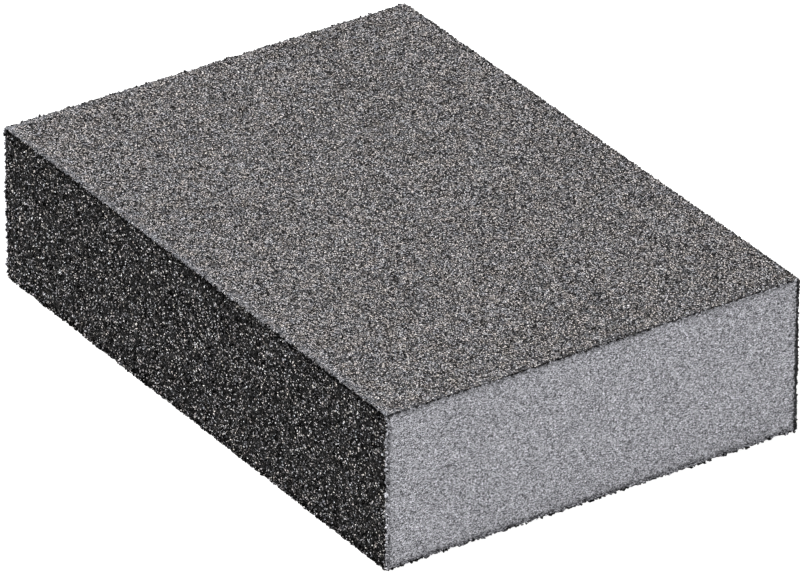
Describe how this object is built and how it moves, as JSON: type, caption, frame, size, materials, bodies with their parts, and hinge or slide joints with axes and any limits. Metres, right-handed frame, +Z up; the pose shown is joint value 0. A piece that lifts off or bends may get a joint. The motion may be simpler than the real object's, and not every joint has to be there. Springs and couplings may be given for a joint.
{
  "type": "sanding block",
  "caption": "Rectangular foam hand sanding block, grit-coated on its broad faces and long narrow sides, with bare cut foam ends.",
  "frame": {"origin": "centre of the block's footprint, on the surface it rests on", "axes": "+X along the block's length between its two bare foam ends, +Y across its width from the coarse side to the medium side, +Z up through its thickness to the medium broad face"},
  "size_m": [0.1, 0.07, 0.025],
  "materials": {
    "foam": "matte",
    "resin": "satin",
    "medium_grit": "matte",
    "coarse_grit": "matte"
  },
  "bodies": {
    "root": {"foam_core": "foam", "top_resin_bond": "resin", "top_grit": "medium_grit", "back_side_resin_bond": "resin", "back_side_grit": "medium_grit", "underside_resin_bond": "resin", "underside_grit": "coarse_grit", "front_side_resin_bond": "resin", "front_side_grit": "coarse_grit"}
  },
  "joints": []
}
